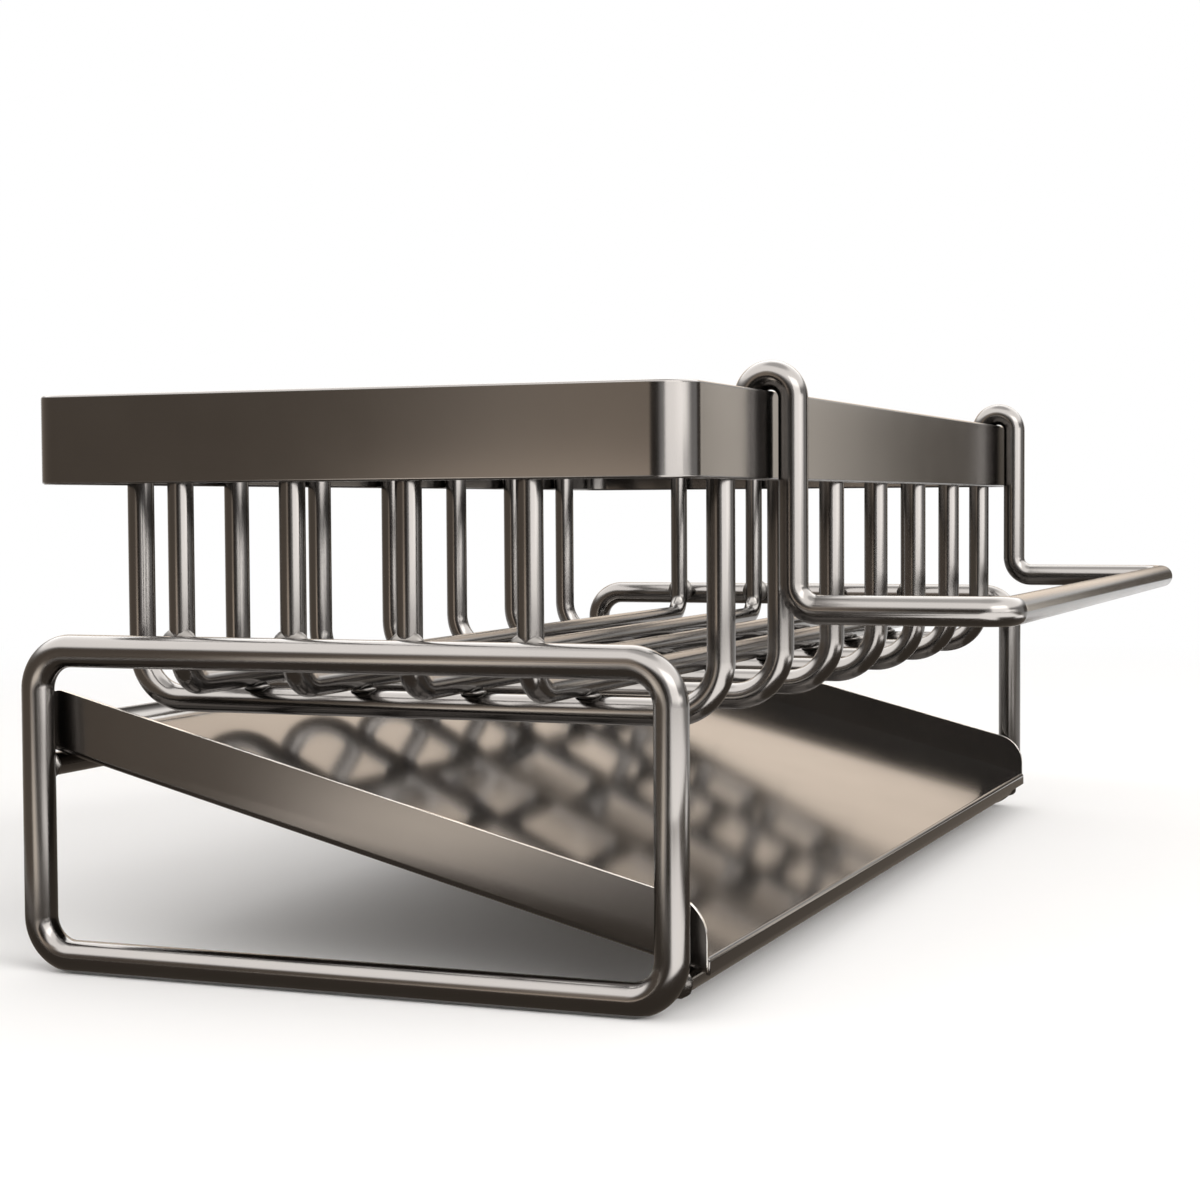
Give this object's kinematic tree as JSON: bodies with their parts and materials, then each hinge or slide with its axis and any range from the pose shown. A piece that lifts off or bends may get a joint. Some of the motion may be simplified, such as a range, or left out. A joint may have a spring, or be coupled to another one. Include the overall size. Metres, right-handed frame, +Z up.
{
  "type": "sink caddy",
  "caption": "Gunmetal steel sink caddy: wire basket in a flat rim band on end loops, with a sloped drip tray and a lift-off towel rail.",
  "frame": {"origin": "centre of the whole object's box, on the surface it stands on", "axes": "+Z up, +Y along the long side, +X towards the tray's spout and the towel rail"},
  "size_m": [0.2036, 0.338, 0.1302],
  "materials": {
    "band_steel": "satin, dark grey",
    "wire_steel": "polished, dark grey",
    "loop_steel": "polished, dark grey",
    "rail_steel": "polished, dark grey",
    "tray_steel": "satin sheet, dark grey"
  },
  "bodies": {
    "rack": {"rim_band": "band_steel", "cross_wire_1": "wire_steel", "cross_wire_2": "wire_steel", "cross_wire_3": "wire_steel", "cross_wire_4": "wire_steel", "cross_wire_5": "wire_steel", "cross_wire_6": "wire_steel", "cross_wire_7": "wire_steel", "long_wire_1": "wire_steel", "long_wire_2": "wire_steel", "long_wire_3": "wire_steel", "long_wire_4": "wire_steel", "near_end_loop": "loop_steel", "far_end_loop": "loop_steel", "tray_rod_rear": "wire_steel", "tray_rod_front": "wire_steel"},
    "tray": {"drip_tray": "tray_steel"},
    "rail": {"towel_rail": "rail_steel"}
  },
  "joints": [
    {"name": "tray_pull", "type": "slide", "parent": "rack", "child": "tray", "axis": [0.9681, 0, -0.2508], "range_m": [0, 0.14]},
    {"name": "rail_lift", "type": "slide", "parent": "rack", "child": "rail", "axis": [0, 0, 1], "range_m": [0, 0.03]}
  ]
}
